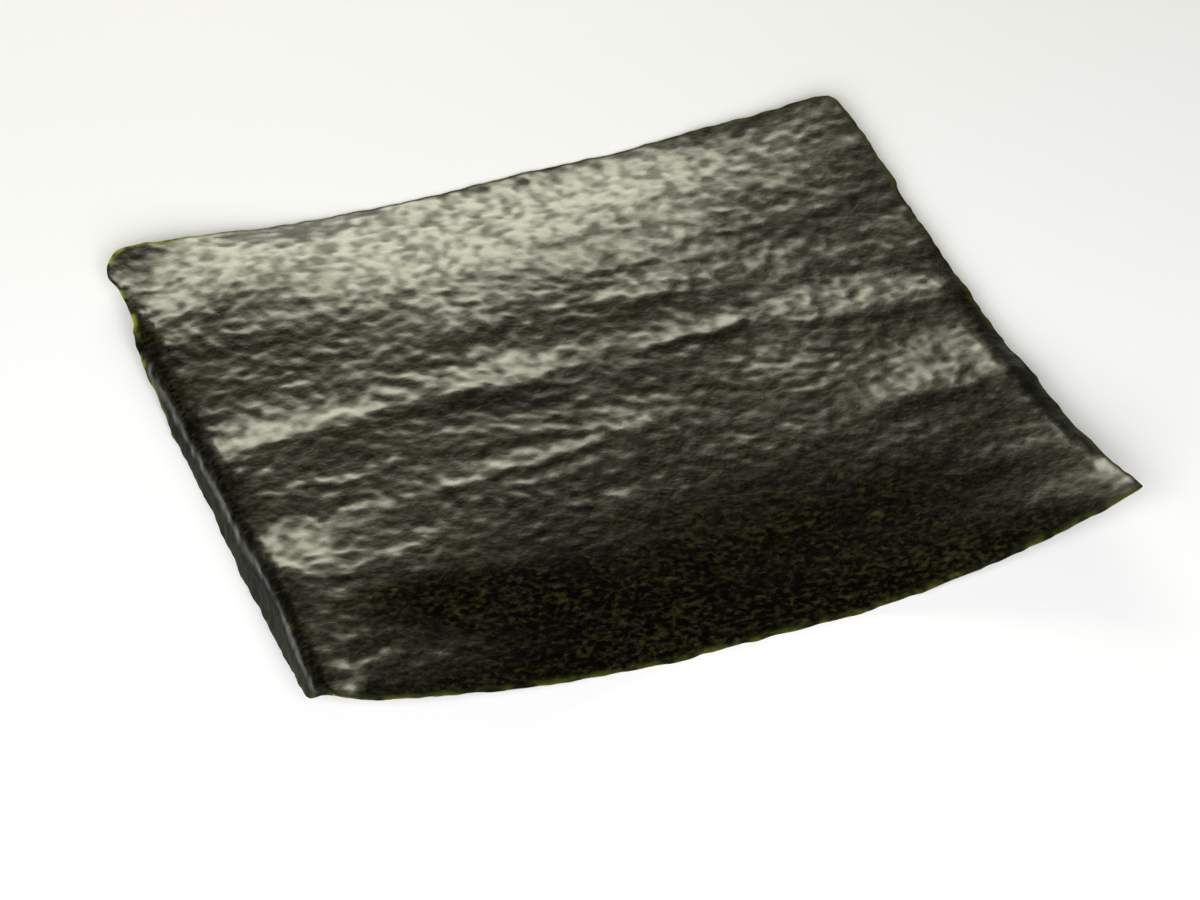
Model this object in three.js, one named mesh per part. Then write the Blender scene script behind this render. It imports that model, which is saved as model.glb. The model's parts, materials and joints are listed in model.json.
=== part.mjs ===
// Roasted nori sheet: one thin pressed sheet of seaweed, lying face up with its edges curling.
// Millimetres. +X runs along the long side, +Y to the back, +Z up. The origin is under the middle
// of the sheet, on the surface that it lies on.

import * as THREE from 'three';

// The sheet laid flat.
const LENGTH = 210;
const WIDTH = 190;
const THICKNESS = 0.4;
const CORNER_RADIUS = { backLeft: 10, backRight: 6, frontRight: 1.5, frontLeft: 12 };

// The left edge is drawn in near the back corner. The pull fades out over a distance to the right.
const DRAWN_IN = { at: 72, depth: 3, reach: 16, fade: 30 };

// The left margin rolls down to its edge, and less so near the back corner.
const ROLL_WIDTH = 9;
const ROLL_DROP = { front: 4.7, back: 2 };
const ROLL_EASES = { from: 30, to: 80 };

// Cells of the faceted skin. Those of the rolled margin are narrower.
const CELLS_MARGIN = 4;
const CELLS_FACE = 44;
const CELLS_ACROSS = 42;

// The bow: how far the sides and the corners stand above the middles of the front and back edges.
const SIDE_LIFT = { left: 5.2, right: 4.5 };
const CORNER_LIFT = { backLeft: 8.5, backRight: 5.5, frontRight: 18, frontLeft: 19.5 };

// The sway: gentle S-curves along and across the sheet.
const SWAY_ALONG = 2;
const SWAY_ACROSS = 1;
const SWAY_AT_SIDES = 3.8;

// The crown: how far the middle stands above its edges, and how much more it does so towards two of them.
const CROWN = { height: 7.1, left: 2.2, front: 2.4 };

// The sheet lies flat on its lowest parts, up to this height of the bow.
const CONTACT_LEVEL = 0.97;

// The least share of its flat length that a steep cell keeps along the ground.
const STEEPEST_SHARE = 0.15;

// Broad swells and hollows, which keep clear of the edges: place, height and reach of each.
const SWELLS = [
  { at: [-107, 112], height: -19, along: 13, across: 34 },
  { at: [81, 24], height: -2, along: 27, across: 20 },
  { at: [-116, -69], height: 21.5, along: 18, across: 57 },
  { at: [100, -84], height: -1.2, along: 7, across: 7 },
  { at: [-3, -75], height: -1.3, along: 75, across: 7 },
  { at: [65, 126], height: -4.9, along: 21, across: 38 },
  { at: [112, -48], height: 23, along: 7, across: 37 },
  { at: [-50, 48], height: 1.3, along: 17, across: 20 },
  { at: [-37, -27], height: 1.2, along: 27, across: 14 },
];

// Soft folds that run along the sheet. Each crest goes from one point to another, has its own
// spreads to the front and to the back, and fades out past both ends.
const FOLD_FADE = 14;
const FOLDS = [
  { from: [-105, -4], to: [-18, 5], height: 1.1, front: 13, back: 7.5 },
  { from: [-105, -37], to: [-94, -45], height: 1.7, front: 12.5, back: 7 },
  { from: [-66, -57], to: [-11, -73], height: 2.3, front: 7.5, back: 22 },
  { from: [-35, 33], to: [65, 79], height: 0.9, front: 20, back: 17 },
  { from: [92, -34], to: [105, -36], height: 0.9, front: 11.5, back: 13 },
  { from: [11, 8], to: [32, 6], height: 0.4, front: 8, back: 6.5 },
  { from: [63, 8], to: [105, 0.5], height: 0.6, front: 8.5, back: 7 },
  { from: [-89, 27], to: [-50, 50], height: -1.3, front: 20, back: 22 },
  { from: [27, 30], to: [102, 27], height: 0.6, front: 12.5, back: 9.5 },
];

const NORI_COLOUR = 0x23251a;
const NORI_ROUGHNESS = 0.5;

const HALF_LENGTH = LENGTH / 2;
const HALF_WIDTH = WIDTH / 2;
const COLUMNS = CELLS_MARGIN + CELLS_FACE + 1;
const ROWS = CELLS_ACROSS + 1;

// Value at a place (a, b) of the sheet, both -1 to 1, from the values at its four corners.
function betweenCorners(values, a, b) {
  const back = THREE.MathUtils.lerp(values.backLeft, values.backRight, (1 + a) / 2);
  const front = THREE.MathUtils.lerp(values.frontLeft, values.frontRight, (1 + a) / 2);
  return THREE.MathUtils.lerp(front, back, (1 + b) / 2);
}

// The broad shape: raised sides, more raised corners and a crowned middle.
function bowHeight(a, b) {
  const alongSquared = a * a;
  const acrossSquared = b * b;
  const side = THREE.MathUtils.lerp(SIDE_LIFT.left, SIDE_LIFT.right, (1 + a) / 2);
  const sides = side * alongSquared * (1 - acrossSquared);
  const corners = betweenCorners(CORNER_LIFT, a, b) * alongSquared * acrossSquared;
  const along = SWAY_ALONG * (a ** 3 - a);
  const across = (SWAY_ACROSS - SWAY_AT_SIDES * a) * (b - b ** 3);
  const crown = (CROWN.height - CROWN.left * a - CROWN.front * b) * (1 - a ** 4) * (1 - b ** 4);
  return sides + corners + along + across + crown;
}

// One swell's height at a place of the flat sheet.
function swellHeight(swell, x, y) {
  const clearOfEdges = (1 - (x / HALF_LENGTH) ** 6) * (1 - (y / HALF_WIDTH) ** 6);
  const along = (x - swell.at[0]) / swell.along;
  const across = (y - swell.at[1]) / swell.across;
  return swell.height * clearOfEdges * Math.exp(-(along ** 2 + across ** 2) / 2);
}

// One fold's height at a place of the flat sheet.
function foldHeight(fold, x, y) {
  const [startX, startY] = fold.from;
  const [endX, endY] = fold.to;
  const past = Math.max(startX - x, x - endX, 0);
  const share = THREE.MathUtils.clamp((x - startX) / (endX - startX), 0, 1);
  const offset = y - THREE.MathUtils.lerp(startY, endY, share);
  const spread = offset < 0 ? fold.front : fold.back;
  return fold.height * Math.exp(-((past / FOLD_FADE) ** 2) - (offset / spread) ** 2 / 2);
}

// How far the left margin has rolled down.
function rollDrop(x, y) {
  const share = THREE.MathUtils.clamp((ROLL_WIDTH - HALF_LENGTH - x) / ROLL_WIDTH, 0, 1);
  const eased = THREE.MathUtils.smoothstep(y, ROLL_EASES.from, ROLL_EASES.to);
  return THREE.MathUtils.lerp(ROLL_DROP.front, ROLL_DROP.back, eased) * share * share;
}

// Height of the underside at a place of the flat sheet.
function undersideHeight(x, y) {
  const swells = SWELLS.reduce((sum, swell) => sum + swellHeight(swell, x, y), 0);
  const folds = FOLDS.reduce((sum, fold) => sum + foldHeight(fold, x, y), 0);
  const height = bowHeight(x / HALF_LENGTH, y / HALF_WIDTH) + swells + folds - rollDrop(x, y);
  return Math.max(height, CONTACT_LEVEL);
}

// Rounds a corner: the square at the corner is drawn in to a quarter disc.
function roundedPlace(x, y) {
  const side = y > 0 ? 'back' : 'front';
  const radius = CORNER_RADIUS[side + (x > 0 ? 'Right' : 'Left')];
  const p = (Math.abs(x) - HALF_LENGTH + radius) / radius;
  const q = (Math.abs(y) - HALF_WIDTH + radius) / radius;
  if (p <= 0 || q <= 0) {
    return [x, y];
  }
  const drawnX = HALF_LENGTH - radius + radius * p * Math.sqrt(1 - (q * q) / 2);
  const drawnY = HALF_WIDTH - radius + radius * q * Math.sqrt(1 - (p * p) / 2);
  return [Math.sign(x) * drawnX, Math.sign(y) * drawnY];
}

// Draws the left edge in near the back corner.
function drawnPlace(x, y) {
  const share = THREE.MathUtils.clamp((DRAWN_IN.fade - HALF_LENGTH - x) / DRAWN_IN.fade, 0, 1);
  const pull = DRAWN_IN.depth * Math.exp(-(((y - DRAWN_IN.at) / DRAWN_IN.reach) ** 2));
  return x + pull * share * share;
}

// A bent line of points spans less than it does flat: where its points come to lie along one axis.
function spannedPlaces(line, axis) {
  const places = [0];
  for (let i = 1; i < line.length; i += 1) {
    const flat = Math.hypot(line[i].x - line[i - 1].x, line[i].y - line[i - 1].y);
    const rise = line[i].z - line[i - 1].z;
    const kept = Math.sqrt(Math.max(1 - (rise / flat) ** 2, STEEPEST_SHARE ** 2));
    places.push(places[i - 1] + kept * (line[i][axis] - line[i - 1][axis]));
  }
  const middle = places.at(-1) / 2;
  const flatMiddle = (line[0][axis] + line.at(-1)[axis]) / 2;
  return places.map((place) => place - middle + flatMiddle);
}

// Where a column of the flat sheet's points lies along it.
function columnPlace(i) {
  return i < CELLS_MARGIN
    ? (i / CELLS_MARGIN) * ROLL_WIDTH - HALF_LENGTH
    : ((i - CELLS_MARGIN) / CELLS_FACE) * (LENGTH - ROLL_WIDTH) + ROLL_WIDTH - HALF_LENGTH;
}

// The underside's points, row by row from the front, left to right in each row.
function undersidePoints() {
  const points = [];
  for (let j = 0; j < ROWS; j += 1) {
    for (let i = 0; i < COLUMNS; i += 1) {
      const [x, y] = roundedPlace(columnPlace(i), (j / CELLS_ACROSS - 0.5) * WIDTH);
      points.push(new THREE.Vector3(drawnPlace(x, y), y, undersideHeight(x, y)));
    }
  }
  const spannedX = [];
  for (let j = 0; j < ROWS; j += 1) {
    const row = points.slice(j * COLUMNS, (j + 1) * COLUMNS);
    spannedX.push(spannedPlaces(row, 'x'));
  }
  const spannedY = [];
  for (let i = 0; i < COLUMNS; i += 1) {
    const column = points.filter((_, index) => index % COLUMNS === i);
    spannedY.push(spannedPlaces(column, 'y'));
  }
  return points.map((point, index) => {
    const i = index % COLUMNS;
    const j = Math.floor(index / COLUMNS);
    return new THREE.Vector3(spannedX[j][i], spannedY[i][j], point.z);
  });
}

// The face's points: each lies one thickness off the underside, square to it.
function facePoints(underside) {
  const skin = new THREE.BufferGeometry().setFromPoints(underside);
  const indices = [];
  for (let j = 0; j < ROWS - 1; j += 1) {
    for (let i = 0; i < COLUMNS - 1; i += 1) {
      const corner = j * COLUMNS + i;
      indices.push(corner, corner + 1, corner + COLUMNS + 1);
      indices.push(corner, corner + COLUMNS + 1, corner + COLUMNS);
    }
  }
  skin.setIndex(indices);
  skin.computeVertexNormals();
  const normals = skin.getAttribute('normal');
  return underside.map((point, index) => {
    const normal = new THREE.Vector3().fromBufferAttribute(normals, index);
    return point.clone().addScaledVector(normal, THICKNESS);
  });
}

// The sheet's solid: the underside, the face one thickness above it, and the rim between them.
function sheetGeometry() {
  const underside = undersidePoints();
  const face = facePoints(underside);
  const points = [...underside, ...face];
  const lower = (i, j) => j * COLUMNS + i;
  const upper = (i, j) => lower(i, j) + underside.length;
  const right = COLUMNS - 1;
  const back = ROWS - 1;
  const indices = [];
  const quad = (a, b, c, d) => indices.push(a, b, c, a, c, d);
  for (let j = 0; j < back; j += 1) {
    for (let i = 0; i < right; i += 1) {
      quad(upper(i, j), upper(i + 1, j), upper(i + 1, j + 1), upper(i, j + 1));
      quad(lower(i, j), lower(i, j + 1), lower(i + 1, j + 1), lower(i + 1, j));
    }
  }
  for (let i = 0; i < right; i += 1) {
    quad(lower(i, 0), lower(i + 1, 0), upper(i + 1, 0), upper(i, 0));
    quad(lower(i + 1, back), lower(i, back), upper(i, back), upper(i + 1, back));
  }
  for (let j = 0; j < back; j += 1) {
    quad(lower(0, j + 1), lower(0, j), upper(0, j), upper(0, j + 1));
    quad(lower(right, j), lower(right, j + 1), upper(right, j + 1), upper(right, j));
  }
  const geometry = new THREE.BufferGeometry().setFromPoints(points);
  geometry.setIndex(indices);
  geometry.computeBoundingBox();
  const { min, max } = geometry.boundingBox;
  geometry.translate(-(min.x + max.x) / 2, -(min.y + max.y) / 2, -min.z);
  geometry.computeVertexNormals();
  return geometry;
}

const nori = new THREE.MeshStandardMaterial({
  color: NORI_COLOUR,
  roughness: NORI_ROUGHNESS,
  metalness: 0,
});

const sheet = new THREE.Mesh(sheetGeometry(), nori);
sheet.name = 'nori_sheet';

const part = new THREE.Group();
part.name = 'nori';
part.add(sheet);

export default part;
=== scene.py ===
"""Roasted nori sheet: the looks of a full-size sheet of pressed seaweed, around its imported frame.

Metres, in the frame's own axes: +X along the long side, +Y to the back, +Z up. The sheet lies on Z 0.
"""

import json
import math

import bpy
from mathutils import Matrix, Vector, kdtree, noise

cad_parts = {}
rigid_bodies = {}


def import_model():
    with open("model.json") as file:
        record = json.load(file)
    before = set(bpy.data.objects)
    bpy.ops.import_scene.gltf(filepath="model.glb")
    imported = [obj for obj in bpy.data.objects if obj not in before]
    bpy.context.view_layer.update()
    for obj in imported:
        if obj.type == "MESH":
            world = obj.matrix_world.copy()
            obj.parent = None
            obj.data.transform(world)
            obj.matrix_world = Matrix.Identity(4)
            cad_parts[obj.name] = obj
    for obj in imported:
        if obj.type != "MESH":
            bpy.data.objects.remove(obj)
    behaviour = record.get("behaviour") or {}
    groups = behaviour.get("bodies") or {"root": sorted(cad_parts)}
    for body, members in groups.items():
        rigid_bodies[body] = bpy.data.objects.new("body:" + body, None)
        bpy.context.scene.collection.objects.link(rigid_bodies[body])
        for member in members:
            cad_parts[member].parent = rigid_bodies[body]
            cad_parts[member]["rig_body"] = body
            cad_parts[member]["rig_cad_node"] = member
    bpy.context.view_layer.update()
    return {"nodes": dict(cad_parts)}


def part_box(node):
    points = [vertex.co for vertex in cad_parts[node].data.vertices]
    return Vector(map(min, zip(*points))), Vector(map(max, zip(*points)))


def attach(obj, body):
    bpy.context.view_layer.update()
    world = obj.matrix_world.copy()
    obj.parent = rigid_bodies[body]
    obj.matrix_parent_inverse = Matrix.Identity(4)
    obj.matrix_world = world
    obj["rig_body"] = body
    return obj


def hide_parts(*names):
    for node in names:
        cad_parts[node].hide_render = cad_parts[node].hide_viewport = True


bl_info = {
    "name": "Nori Sheet",
    "version": (1, 0, 0),
    "blender": (4, 5, 0),
    "location": "View3D > Sidebar > Nori",
    "description": "Makes a roasted nori sheet with its cockles, folds and thin edges",
    "category": "Object",
}

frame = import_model()
CAD_NODE = "nori_sheet"
SHEET_LOW, SHEET_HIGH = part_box(CAD_NODE)
MM = 0.001


# ---------------------------------------------------------------- settings


class NoriSheetSettings(bpy.types.PropertyGroup):
    """Sizes of the sheet's own relief and edges."""

    thickness: bpy.props.FloatProperty(
        name="Thickness",
        description="Thickness of the pressed layers",
        default=0.4 * MM,
        unit="LENGTH",
    )
    swell_height: bpy.props.FloatProperty(
        name="Swell height",
        description="Height of the low swells between the folds",
        default=0.25 * MM,
        unit="LENGTH",
    )
    cockle_height: bpy.props.FloatProperty(
        name="Cockle height",
        description="Height of the soft bumps that drying leaves",
        default=0.13 * MM,
        unit="LENGTH",
    )
    pebble_height: bpy.props.FloatProperty(
        name="Pebble height",
        description="Height of the small bumps of pressed blades",
        default=0.10 * MM,
        unit="LENGTH",
    )
    cockle_width: bpy.props.FloatProperty(
        name="Cockle width",
        description="Width of one cockle across the sheet",
        default=4.2 * MM,
        unit="LENGTH",
    )
    pebble_width: bpy.props.FloatProperty(
        name="Pebble width",
        description="Width of one small bump",
        default=2.8 * MM,
        unit="LENGTH",
    )
    relief_slant: bpy.props.FloatProperty(
        name="Relief slant",
        description="How much stronger the bumps are at the left end than in the middle",
        default=0.34,
    )
    edge_raggedness: bpy.props.FloatProperty(
        name="Edge raggedness",
        description="How far the torn edge wanders in and out",
        default=0.45 * MM,
        unit="LENGTH",
    )
    edge_width: bpy.props.FloatProperty(
        name="Edge width",
        description="How far in from the rim the thin green edge reaches",
        default=1.0 * MM,
        unit="LENGTH",
    )


class NoriColourSettings(bpy.types.PropertyGroup):
    """Colours of the roasted seaweed, and the painted glow of light through its thin edge."""

    dark: bpy.props.FloatVectorProperty(
        name="Dark",
        description="Where many layers of seaweed lie over one another",
        default=(0.0004, 0.0003, 0.0001),
        size=3,
        subtype="COLOR",
    )
    olive: bpy.props.FloatVectorProperty(
        name="Olive",
        description="Where the seaweed lies in few layers",
        default=(0.021, 0.0195, 0.0072),
        size=3,
        subtype="COLOR",
    )
    green: bpy.props.FloatVectorProperty(
        name="Green",
        description="Single blades that kept their green through roasting",
        default=(0.026, 0.027, 0.007),
        size=3,
        subtype="COLOR",
    )
    # Painted light: a bright yellow-green base colour that stands in for light shining through the thin
    # edge from behind.
    edge: bpy.props.FloatVectorProperty(
        name="Edge",
        description="The thin edge that light comes through",
        default=(0.26, 0.30, 0.03),
        size=3,
        subtype="COLOR",
    )


class NoriStageSettings(bpy.types.PropertyGroup):
    """Floor, light and camera."""

    floor_colour: bpy.props.FloatVectorProperty(
        name="Floor",
        description="Colour of the floor",
        default=(0.82, 0.82, 0.82),
        size=3,
        subtype="COLOR",
    )
    softbox_power: bpy.props.FloatProperty(
        name="Softbox power",
        description="Power of the large light, low behind the sheet",
        default=4.8,
        unit="POWER",
    )
    softbox_colour: bpy.props.FloatVectorProperty(
        name="Softbox colour",
        description="Colour of the large light",
        default=(1.0, 0.985, 0.78),
        size=3,
        subtype="COLOR",
    )
    fill_power: bpy.props.FloatProperty(
        name="Fill power",
        description="Power of the broad light in front of the sheet",
        default=68.0,
        unit="POWER",
    )
    camera_distance: bpy.props.FloatProperty(
        name="Camera distance",
        description="From the camera to the point that it looks at",
        default=0.9492,
        unit="LENGTH",
    )
    camera_elevation: bpy.props.FloatProperty(
        name="Camera elevation",
        description="Angle of the camera above the floor",
        default=math.radians(41.15),
        subtype="ANGLE",
    )
    camera_azimuth: bpy.props.FloatProperty(
        name="Camera azimuth",
        description="Turn of the camera to the sheet's left",
        default=math.radians(20.89),
        subtype="ANGLE",
    )
    camera_lens: bpy.props.FloatProperty(
        name="Camera lens",
        description="Focal length in millimetres on a 36 mm sensor",
        default=115.77,
    )


# ---------------------------------------------------------------- helpers

# From one node to the next in the node editor.
NODE_SPACING = 220

# A Mix node holds sockets for every kind of value. These are the ones that it uses for colours.
MIX_SHARE = 0
MIX_FIRST = 6
MIX_SECOND = 7
MIX_RESULT = 2


def select_only(obj):
    """Makes obj the only selected object, and the active one."""
    bpy.ops.object.select_all(action="DESELECT")
    obj.select_set(True)
    bpy.context.view_layer.objects.active = obj


def add_modifier(obj, kind, **values):
    """Adds a modifier and applies it."""
    select_only(obj)
    modifier = obj.modifiers.new(kind.title(), kind)
    for name, value in values.items():
        setattr(modifier, name, value)
    bpy.ops.object.modifier_apply(modifier=modifier.name)


def add_node(tree, kind, label, inputs=None, **settings):
    """Adds a node; each input is either a value or the socket that feeds it."""
    node = tree.nodes.new(kind)
    node.label = label
    node.location = (NODE_SPACING * len(tree.nodes), 0)
    for name, value in settings.items():
        setattr(node, name, value)
    for name, value in (inputs or {}).items():
        if isinstance(value, bpy.types.NodeSocket):
            tree.links.new(value, node.inputs[name])
        else:
            node.inputs[name].default_value = value
    return node


def attribute(tree, name):
    """The value of one of the sheet's own attributes."""
    return add_node(tree, "ShaderNodeAttribute", name, attribute_name=name).outputs["Fac"]


def maths(tree, operation, label, *values):
    """The output of a Math node on the given values or sockets."""
    node = add_node(tree, "ShaderNodeMath", label, dict(enumerate(values)), operation=operation)
    return node.outputs[0]


def remap(tree, label, value, low=0.0, high=1.0, to_low=0.0, to_high=1.0):
    """The output of a smooth Map Range node."""
    inputs = {
        "Value": value,
        "From Min": low,
        "From Max": high,
        "To Min": to_low,
        "To Max": to_high,
    }
    node = add_node(tree, "ShaderNodeMapRange", label, inputs, interpolation_type="SMOOTHSTEP")
    return node.outputs["Result"]


def mixed_colour(tree, label, share, first, second):
    """The output of a colour Mix node: the first colour where the share is 0, the second where it is 1."""
    inputs = {MIX_SHARE: share, MIX_FIRST: first, MIX_SECOND: second}
    return add_node(tree, "ShaderNodeMix", label, inputs, data_type="RGBA").outputs[MIX_RESULT]


def noise_texture(tree, label, place, scale, detail, roughness):
    """The value of a Noise Texture node at a place; scale is in bumps per metre."""
    inputs = {"Vector": place, "Scale": scale, "Detail": detail, "Roughness": roughness}
    return add_node(tree, "ShaderNodeTexNoise", label, inputs).outputs["Fac"]


def stretched(tree, label, place, scale):
    """A place scaled along each axis."""
    node = add_node(tree, "ShaderNodeMapping", label, {"Vector": place, "Scale": scale})
    return node.outputs["Vector"]


def new_group(name, inputs, outputs):
    """A shader node group with the given sockets, and its input and output nodes."""
    group = bpy.data.node_groups.new(name, "ShaderNodeTree")
    for socket, kind in inputs:
        group.interface.new_socket(socket, in_out="INPUT", socket_type=kind)
    for socket, kind in outputs:
        group.interface.new_socket(socket, in_out="OUTPUT", socket_type=kind)
    start = group.nodes.new("NodeGroupInput")
    end = group.nodes.new("NodeGroupOutput")
    return group, start.outputs, end.inputs


def use_group(tree, group, inputs):
    """The outputs of a node group placed in a tree."""
    return add_node(tree, "ShaderNodeGroup", group.name, inputs, node_tree=group).outputs


# ---------------------------------------------------------------- materials

# The blades lie along the sheet: their pattern is drawn out along X.
BLADE_STRETCH = (0.65, 1.0, 1.0)

# How much the clumps count for, next to the single blades.
CLUMP_SHARE = 0.25

# The edge and the hanging margin are this rough.
EDGE_ROUGHNESS = 0.7

# The face is glossy, with a film that roasting leaves on its crests. The back is dull.
FINISHES = {
    "Roasted Nori Face": {"roughness": 0.36, "film": 1.0, "grain_depth": 0.24 * MM},
    "Roasted Nori Back": {"roughness": 0.46, "film": 0.2, "grain_depth": 0.18 * MM},
}


def layers_group():
    """Seaweed Layers: where the blades lie thin, and where single green ones show."""
    group, given, made = new_group(
        "Seaweed Layers",
        [("Vector", "NodeSocketVector")],
        [("Thinness", "NodeSocketFloat"), ("Green", "NodeSocketFloat")],
    )
    along = stretched(group, "blades lie along the sheet", given["Vector"], BLADE_STRETCH)
    clumps = noise_texture(group, "clumps", along, scale=62.0, detail=2.0, roughness=0.5)
    blades = noise_texture(group, "blades", along, scale=820.0, detail=2.0, roughness=0.55)
    layers = maths(group, "MULTIPLY_ADD", "blades in clumps", clumps, CLUMP_SHARE, blades)
    group.links.new(remap(group, "thinness", layers, low=0.54, high=1.0), made["Thinness"])
    flecks = noise_texture(group, "flecks", along, scale=430.0, detail=1.0, roughness=0.5)
    group.links.new(remap(group, "green", flecks, low=0.62, high=0.86), made["Green"])
    return group


def grain_group():
    """Pressed Grain: the height of the finest relief, from fibres and torn blades."""
    group, given, made = new_group(
        "Pressed Grain",
        [("Vector", "NodeSocketVector")],
        [("Height", "NodeSocketFloat")],
    )
    height = noise_texture(group, "fibres", given["Vector"], scale=420.0, detail=2.0, roughness=0.5)
    group.links.new(height, made["Height"])
    return group


def seaweed_colour(tree, layers, place, colours):
    """Dark layers, olive where they lie thin, single green blades, and on the rim a patchy painted glow of
    light through the thin edge.
    """
    pattern = use_group(tree, layers, {"Vector": place})
    dark = (*colours.dark, 1)
    olive = (*colours.olive, 1)
    layered = mixed_colour(tree, "layers", pattern["Thinness"], dark, olive)
    bladed = mixed_colour(tree, "green blades", pattern["Green"], layered, (*colours.green, 1))
    # Painted light: near the back left corner the rim takes a bright yellow-green, painted in for light
    # shining through the thin edge.
    patches = noise_texture(tree, "edge patches", place, scale=150.0, detail=2.0, roughness=0.6)
    patchy = remap(tree, "patches", patches, low=0.40, high=0.62)
    green = maths(tree, "MULTIPLY", "patchy green", attribute(tree, "green"), patchy)
    lit = maths(tree, "MULTIPLY", "lit rim", attribute(tree, "rim"), green)
    return mixed_colour(tree, "thin edge", lit, bladed, (*colours.edge, 1))


def film_weight(tree, matt, film):
    """How strong the glossy film is: full on the crests, and none at the matt edge."""
    inside = remap(tree, "film inside the edge", matt, to_low=film, to_high=0.0)
    crest = attribute(tree, "crest")
    worn = remap(tree, "film on the crests", crest, low=0.15, high=0.75, to_low=0.2, to_high=1.0)
    return maths(tree, "MULTIPLY", "film", worn, inside)


def nori_material(name, layers, grain, colours, roughness, film, grain_depth):
    """One side of the roasted sheet."""
    material = bpy.data.materials.new(name)
    material.use_nodes = True
    tree = material.node_tree
    tree.nodes.clear()
    place = add_node(tree, "ShaderNodeTexCoord", "place").outputs["Object"]
    matt = attribute(tree, "matt")
    bump = add_node(tree, "ShaderNodeBump", "grain", {
        "Strength": 1.0,
        "Distance": grain_depth,
        "Height": use_group(tree, grain, {"Vector": place})["Height"],
    })
    shader = add_node(tree, "ShaderNodeBsdfPrincipled", "roasted seaweed", {
        "Base Color": seaweed_colour(tree, layers, place, colours),
        "Roughness": remap(tree, "rough edge", matt, to_low=roughness, to_high=EDGE_ROUGHNESS),
        "IOR": 1.5,
        "Normal": bump.outputs["Normal"],
        "Specular IOR Level": 0.12,
        "Specular Tint": (1.0, 0.985, 0.60, 1.0),
        "Coat Weight": film_weight(tree, matt, film),
        "Coat Roughness": 0.20,
        "Coat IOR": 1.5,
    })
    out = add_node(tree, "ShaderNodeOutputMaterial", "surface")
    tree.links.new(shader.outputs["BSDF"], out.inputs["Surface"])
    return material


# ---------------------------------------------------------------- the sheet

# Small folds on the broad shape: from, to, height, and spread to the front and to the back, in millimetres.
FOLDS = (
    ((-98, 2.5), (-20, 2.5), 0.22, 2.4, 3.5),
    ((22, 8), (36, 9.5), 0.26, 1.5, 2.2),
    ((-47, -30), (-10, -23.5), 0.18, 1.5, 2.2),
    ((-8, -23.5), (22, -16.5), 0.09, 1.5, 2.2),
    ((-36, -16.5), (-15, -18), 0.13, 1.3, 2.0),
    ((-30, 28.5), (20, 27), 0.18, 3.0, 4.0),
    ((62, -35.5), (104, -36), 0.24, 2.6, 5.0),
    ((62, 5), (104, 2), 0.18, 2.6, 4.0),
)

# In millimetres: how far a fold runs on past its ends, and how far it wanders from a straight line.
FOLD_FADE = 7.0
FOLD_WANDER = 1.8

# How uneven a fold is along its length, as a share of its height.
FOLD_UNEVENNESS = 0.9

# Length along a fold of one wander, and of one rise and fall.
FOLD_WANDER_LENGTH = 10.0 * MM
FOLD_RISE_LENGTH = 12.0 * MM

# The cockles and small bumps don't lie in rows: all of them drift this far, over patches of this size.
DRIFT_REACH = 2.8 * MM
DRIFT_LENGTH = 30.0 * MM
DRIFT_WIDTH = 22.0 * MM

# Length of a cockle, and length and width of a swell, in cockle widths.
COCKLE_LENGTH = 1.1
SWELL_LENGTH = 6.0
SWELL_WIDTH = 2.6

# Crumbs on the small bumps: how many fit across one, and their share of its height.
CRUMB_COUNT = 2.1
CRUMB_SHARE = 0.3

# Seed of the noise that shifts the bumps and the torn edge, so that the sheet comes out the same each time.
NOISE_SEED = 1

# Each kind of bump is cut from the noise at a level of its own, so that no two fall together.
NOISE_LEVELS = {
    "fold wander": 0.0,
    "edge tear": 1.7,
    "drift": 3.1,
    "fold rise": 4.0,
    "edge wave": 5.2,
    "swell": 7.3,
    "cockle": 11.9,
    "pebble": 16.5,
    "crumb": 21.8,
}

# Points closer together than this are one point.
MERGE_REACH = 0.001 * MM

# Every rim face of the frame has a side shorter than this, and no other face has.
RIM_LIMIT = 0.8 * MM

# The upper skin faces away from a point this far under the middle of the floor.
SKIN_LIFT = 0.20

# Cuts across each face of the smoothed skin.
SKIN_CUTS = 2

# The hanging margin is as matt as the rim: this begins where the upward share of its normal falls
# below the first value, and is full once it has fallen by the second.
STEEP_FROM = 0.55
STEEP_SPAN = 0.35

# How far in from the edge the sheet follows its wander.
EDGE_EASE = 2.0 * MM

# Lengths along the edge of one small tear and of one long wave.
TEAR_LENGTH = 3.5 * MM
WAVE_LENGTH = 16.0 * MM

# The painted glow of light through the thin edge is strongest around the back left corner, within this
# reach, and has this share elsewhere.
GLOW_REACH = 60.0 * MM
GLOW_ELSEWHERE = 0.14

# Values that the finish follows: the thin rim, where it is matt, the share of the rim's painted glow of
# light through the edge, and the crests.
FINISH_VALUES = ("rim", "matt", "green", "crest")

# The share of all faces that is left once the back of the sheet is thinned.
UNDERSIDE_RATIO = 0.6

# Faces that meet at less than this are shaded as one surface.
SMOOTH_ANGLE = math.radians(50)


def shortest_side(mesh, face):
    """Length of a face's shortest side."""
    corners = [mesh.vertices[index].co for index in face.vertices]
    return min((corner - last).length for corner, last in zip(corners, corners[-1:] + corners[:-1]))


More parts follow.
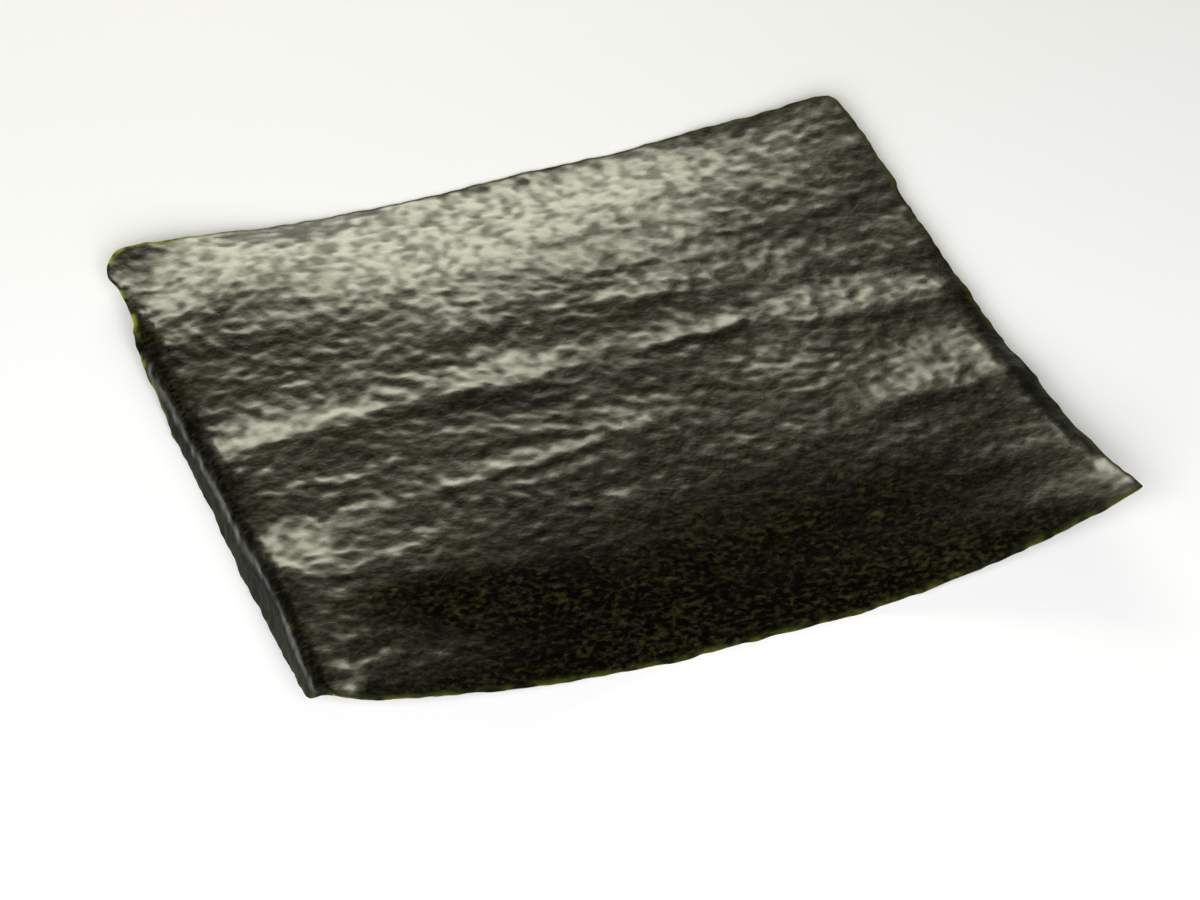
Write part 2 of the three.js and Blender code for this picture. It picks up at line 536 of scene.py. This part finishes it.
def copied_sheet():
    """A copy of the frame's sheet with its faces joined at their points."""
    source = frame["nodes"][CAD_NODE]
    sheet = source.copy()
    sheet.data = source.data.copy()
    sheet.name = "roasted_sheet"
    sheet.data.name = "roasted_sheet"
    bpy.context.scene.collection.objects.link(sheet)
    # The copy is a new piece, so it drops the marks that make the frame's sheet a CAD node.
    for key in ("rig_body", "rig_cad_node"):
        del sheet[key]
    sheet.parent = None
    select_only(sheet)
    bpy.ops.object.mode_set(mode="EDIT")
    bpy.ops.mesh.select_mode(type="FACE")
    bpy.ops.mesh.select_all(action="SELECT")
    bpy.ops.mesh.remove_doubles(threshold=MERGE_REACH)
    bpy.ops.mesh.select_all(action="DESELECT")
    bpy.ops.object.mode_set(mode="OBJECT")
    return sheet


def cut_down_to_skin(sheet):
    """Deletes the rim and the back of the sheet, and makes quads of what is left."""
    for face in sheet.data.polygons:
        outward = Vector((face.center.x, face.center.y, SKIN_LIFT))
        is_rim = shortest_side(sheet.data, face) < RIM_LIMIT
        face.select = is_rim or face.normal.dot(outward) <= 0.0
    bpy.ops.object.mode_set(mode="EDIT")
    bpy.ops.mesh.delete(type="FACE")
    bpy.ops.mesh.select_all(action="SELECT")
    bpy.ops.mesh.tris_convert_to_quads(face_threshold=math.radians(60), shape_threshold=math.radians(80))
    bpy.ops.object.mode_set(mode="OBJECT")


def subdivide_all(obj, cuts):
    """Cuts every edge of an object and smooths the new points onto the curved surface."""
    select_only(obj)
    bpy.ops.object.mode_set(mode="EDIT")
    bpy.ops.mesh.select_all(action="SELECT")
    bpy.ops.mesh.subdivide(number_cuts=cuts, smoothness=1.0)
    bpy.ops.object.mode_set(mode="OBJECT")


def bump_at(kind, x, y):
    """Noise from -1 to 1 at a place, for one kind of bump."""
    return noise.noise(Vector((x, y, NOISE_LEVELS[kind])))


def shift_at(kind, x, y):
    """Noise as a direction at a place, for one kind of wander."""
    return noise.noise_vector(Vector((x, y, NOISE_LEVELS[kind])))


def relief(x, y, settings):
    """Height of the relief at a place, in metres, and how far up a small bump it is, from 0 to 1."""
    firmness = 1.0 - settings.relief_slant * x / SHEET_HIGH[0]
    drift = shift_at("drift", x / DRIFT_LENGTH, y / DRIFT_WIDTH) * DRIFT_REACH
    x += drift.x
    y += drift.y
    wide = settings.cockle_width
    small = settings.pebble_width
    swell = bump_at("swell", x / (wide * SWELL_LENGTH), y / (wide * SWELL_WIDTH))
    cockle = bump_at("cockle", x / (wide * COCKLE_LENGTH), y / wide)
    pebble = bump_at("pebble", x / small, y / small)
    pebble += CRUMB_SHARE * bump_at("crumb", CRUMB_COUNT * x / small, CRUMB_COUNT * y / small)
    bumps = settings.cockle_height * cockle + settings.pebble_height * pebble
    return settings.swell_height * swell + firmness * bumps, 0.5 + 0.5 * pebble


def fold_height(x, y):
    """Height of the small folds at a place of the sheet, in metres."""
    total = 0.0
    for (start_x, start_y), (end_x, end_y), height, front, back in FOLDS:
        along = (x / MM - start_x) / (end_x - start_x)
        share = min(max(along, 0.0), 1.0)
        wander = FOLD_WANDER * bump_at("fold wander", x / FOLD_WANDER_LENGTH, start_y)
        strength = 1.0 + FOLD_UNEVENNESS * bump_at("fold rise", x / FOLD_RISE_LENGTH, start_y)
        offset = y / MM - start_y - share * (end_y - start_y) - wander
        past = (along - share) * (end_x - start_x) / FOLD_FADE
        spread = front if offset < 0.0 else back
        total += strength * height * MM * math.exp(-((offset / spread) ** 2) / 2.0 - past * past)
    return total


def painted_edge_glow(place):
    """Share of the painted glow of light through the thin edge at a place."""
    corner = math.hypot(place.x - SHEET_LOW[0], place.y - SHEET_HIGH[1])
    return GLOW_ELSEWHERE + (1.0 - GLOW_ELSEWHERE) * math.exp(-((corner / GLOW_REACH) ** 2))


def edge_wander(place):
    """Which way the torn edge wanders at a place on it, level with the floor."""
    tear = shift_at("edge tear", place.x / TEAR_LENGTH, place.y / TEAR_LENGTH)
    wave = shift_at("edge wave", place.x / WAVE_LENGTH, place.y / WAVE_LENGTH)
    wander = tear + wave
    return Vector((wander.x, wander.y, 0.0))


def boundary_points(mesh):
    """The indices of the points along the skin's open edge."""
    uses = {}
    for face in mesh.polygons:
        for key in face.edge_keys:
            uses[key] = uses.get(key, 0) + 1
    return {point for key, count in uses.items() if count == 1 for point in key}


def edge_tree(mesh):
    """A search tree of the points along the skin's open edge."""
    boundary = boundary_points(mesh)
    tree = kdtree.KDTree(len(boundary))
    for index in boundary:
        tree.insert(mesh.vertices[index].co, index)
    tree.balance()
    return tree


def press_relief(mesh, settings):
    """Gives the smooth skin its bumps, folds and torn edge, and the values that its finish follows."""
    noise.seed_set(NOISE_SEED)
    edges = edge_tree(mesh)
    normals = [point.normal.copy() for point in mesh.vertices]
    for name in FINISH_VALUES:
        mesh.attributes.new(name, "FLOAT", "POINT")
    rims, matts, edge_glows, crests = (mesh.attributes[name].data for name in FINISH_VALUES)
    for index, point in enumerate(mesh.vertices):
        place = point.co.copy()
        normal = normals[index]
        edge, _, inset = edges.find(place)
        # Down the hanging margin X hardly changes, so the relief follows X and Z together.
        lift, crests[index].value = relief(place.x + place.z, place.y, settings)
        point.co += normal * (lift + fold_height(place.x, place.y))
        point.co += edge_wander(edge) * settings.edge_raggedness * math.exp(-((inset / EDGE_EASE) ** 2))
        rim = math.exp(-((inset / settings.edge_width) ** 2))
        steep = min(max((STEEP_FROM - normal.z) / STEEP_SPAN, 0.0), 1.0)
        rims[index].value = rim
        matts[index].value = max(rim, steep)
        # The share of the painted glow of light through the thin edge, kept for the colour.
        edge_glows[index].value = painted_edge_glow(place)


def roast(mesh, colours):
    """Gives the sheet the finishes of its face and its back."""
    layers = layers_group()
    grain = grain_group()
    mesh.materials.clear()
    for name, finish in FINISHES.items():
        mesh.materials.append(nori_material(name, layers, grain, colours, **finish))


def thin_underside(obj):
    """Takes faces out of the back of the sheet, which needs fewer than the face does."""
    mesh = obj.data
    back = {point for face in mesh.polygons if face.material_index == 1 for point in face.vertices}
    kept = {point for face in mesh.polygons if face.material_index == 0 for point in face.vertices}
    group = obj.vertex_groups.new(name="underside")
    group.add(sorted(back - kept), 1.0, "REPLACE")
    add_modifier(obj, "DECIMATE", ratio=UNDERSIDE_RATIO, vertex_group=group.name)
    obj.vertex_groups.clear()


def set_down(mesh):
    """Sets the lowest point of the sheet on the floor."""
    low = min(point.co.z for point in mesh.vertices)
    for point in mesh.vertices:
        point.co.z -= low


class NORI_OT_sheet(bpy.types.Operator):
    """Make the roasted sheet: the frame's skin with cockles, wrinkles, a ragged edge and thickness"""

    bl_idname = "nori.sheet"
    bl_label = "Roasted Sheet"

    def execute(self, context):
        settings = context.scene.nori_sheet
        sheet = copied_sheet()
        cut_down_to_skin(sheet)
        add_modifier(sheet, "SUBSURF", levels=1, render_levels=1, boundary_smooth="PRESERVE_CORNERS")
        subdivide_all(sheet, SKIN_CUTS)
        press_relief(sheet.data, settings)
        roast(sheet.data, context.scene.nori_colours)
        add_modifier(sheet, "SOLIDIFY", thickness=settings.thickness, offset=-1.0, material_offset=1)
        thin_underside(sheet)
        set_down(sheet.data)
        select_only(sheet)
        bpy.ops.object.shade_smooth_by_angle(angle=SMOOTH_ANGLE)
        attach(sheet, "root")
        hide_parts(CAD_NODE)
        return {"FINISHED"}


# ---------------------------------------------------------------- the stage

FLOOR_SIZE = 6.0
FLOOR_ROUGHNESS = 0.6

# Strength of the studio away from its horizon, and of the backdrop.
STUDIO_GLOW = 0.02
BACKDROP_GLOW = 0.9

# The lights face the middle of the sheet. The camera looks at a point nearer its front left.
SHEET_MIDDLE = Vector((0.0, 0.0, 0.0))
CAMERA_TARGET = Vector((-0.0080, -0.0210, 0.0031))


def floor_material(colour):
    """Plain pale matt floor."""
    material = bpy.data.materials.new("Pale Floor")
    material.use_nodes = True
    shader = material.node_tree.nodes["Principled BSDF"]
    shader.inputs["Base Color"].default_value = (*colour, 1)
    shader.inputs["Roughness"].default_value = FLOOR_ROUGHNESS
    return material


def look_at(obj, place):
    """Turns a light or camera to face a place."""
    direction = place - obj.location
    obj.rotation_euler = direction.to_track_quat("-Z", "Y").to_euler()


def aimed_place(azimuth, elevation, distance):
    """The place at an angle to the right of +Y, an angle above the floor and a distance from the sheet."""
    flat = math.cos(elevation) * distance
    return Vector((math.sin(azimuth) * flat, math.cos(azimuth) * flat, math.sin(elevation) * distance))


def add_softbox(name, azimuth, elevation, distance, size, power):
    """A rectangular soft light that faces the sheet."""
    bpy.ops.object.light_add(type="AREA", location=aimed_place(azimuth, elevation, distance))
    light = bpy.context.object
    light.name = name
    light.data.shape = "RECTANGLE"
    light.data.size, light.data.size_y = size
    light.data.energy = power
    look_at(light, SHEET_MIDDLE)
    return light


def add_camera(settings):
    """The camera, which looks at the sheet from its front left."""
    bpy.ops.object.camera_add()
    camera = bpy.context.object
    camera.name = "camera"
    camera.data.lens = settings.camera_lens
    azimuth = math.pi + settings.camera_azimuth
    place = aimed_place(azimuth, settings.camera_elevation, settings.camera_distance)
    camera.location = CAMERA_TARGET + place
    look_at(camera, CAMERA_TARGET)
    bpy.context.scene.camera = camera


def studio_world():
    """A dark studio that glows low behind the sheet, and the plain backdrop that the camera sees."""
    world = bpy.data.worlds.new("Studio")
    world.use_nodes = True
    bpy.context.scene.world = world
    tree = world.node_tree
    background = tree.nodes["Background"]
    place = add_node(tree, "ShaderNodeTexCoord", "direction").outputs["Generated"]
    axes = add_node(tree, "ShaderNodeSeparateXYZ", "axes", {"Vector": place}).outputs
    horizon = remap(tree, "horizon glow", axes["Z"], low=0.15, high=0.38, to_low=2.0, to_high=0.0)
    behind = remap(tree, "behind the sheet", axes["Y"], low=0.0, high=0.6, to_low=0.2, to_high=1.0)
    glow = maths(tree, "MULTIPLY_ADD", "glow", horizon, behind, STUDIO_GLOW)
    seen = add_node(tree, "ShaderNodeLightPath", "seen by the camera").outputs["Is Camera Ray"]
    strengths = {"Factor": seen, "A": glow, "B": BACKDROP_GLOW}
    strength = add_node(tree, "ShaderNodeMix", "glow or backdrop", strengths)
    tree.links.new(strength.outputs["Result"], background.inputs["Strength"])


class NORI_OT_stage(bpy.types.Operator):
    """Make the pale floor, the soft light and the camera"""

    bl_idname = "nori.stage"
    bl_label = "Stage"

    def execute(self, context):
        settings = context.scene.nori_stage
        bpy.ops.object.select_all(action="DESELECT")
        bpy.ops.mesh.primitive_plane_add(size=FLOOR_SIZE)
        floor = context.object
        floor.name = "floor"
        floor.data.materials.append(floor_material(settings.floor_colour))
        studio_world()
        softbox = add_softbox(
            "back softbox",
            azimuth=math.radians(10.2),
            elevation=math.radians(21.4),
            distance=1.1,
            size=(0.62, 0.43),
            power=settings.softbox_power,
        )
        softbox.data.color = settings.softbox_colour
        add_softbox(
            "front fill",
            azimuth=math.radians(205),
            elevation=math.radians(30),
            distance=1.6,
            size=(1.8, 1.0),
            power=settings.fill_power,
        )
        add_camera(settings)
        context.scene.view_settings.view_transform = "Standard"
        return {"FINISHED"}


# ---------------------------------------------------------------- the add-on


class NORI_PT_panel(bpy.types.Panel):
    """Sidebar panel that lists the sheet's settings and makers"""

    bl_idname = "NORI_PT_panel"
    bl_label = "Nori Sheet"
    bl_space_type = "VIEW_3D"
    bl_region_type = "UI"
    bl_category = "Nori"

    def draw(self, context):
        layout = self.layout
        for group in (context.scene.nori_sheet, context.scene.nori_colours, context.scene.nori_stage):
            box = layout.box()
            for name in group.__annotations__:
                box.prop(group, name)
        layout.operator(NORI_OT_sheet.bl_idname)
        layout.operator(NORI_OT_stage.bl_idname)


CLASSES = (
    NoriSheetSettings,
    NoriColourSettings,
    NoriStageSettings,
    NORI_OT_sheet,
    NORI_OT_stage,
    NORI_PT_panel,
)
SETTINGS = {
    "nori_sheet": NoriSheetSettings,
    "nori_colours": NoriColourSettings,
    "nori_stage": NoriStageSettings,
}


def register():
    """Adds the classes, and their settings to every scene."""
    for item in CLASSES:
        bpy.utils.register_class(item)
    for name, item in SETTINGS.items():
        setattr(bpy.types.Scene, name, bpy.props.PointerProperty(type=item))


def unregister():
    """Takes the settings and the classes away."""
    for name in SETTINGS:
        delattr(bpy.types.Scene, name)
    for item in reversed(CLASSES):
        bpy.utils.unregister_class(item)


def main():
    """Makes the sheet and its stage."""
    register()
    bpy.ops.nori.sheet()
    bpy.ops.nori.stage()


if __name__ == "__main__":
    main()
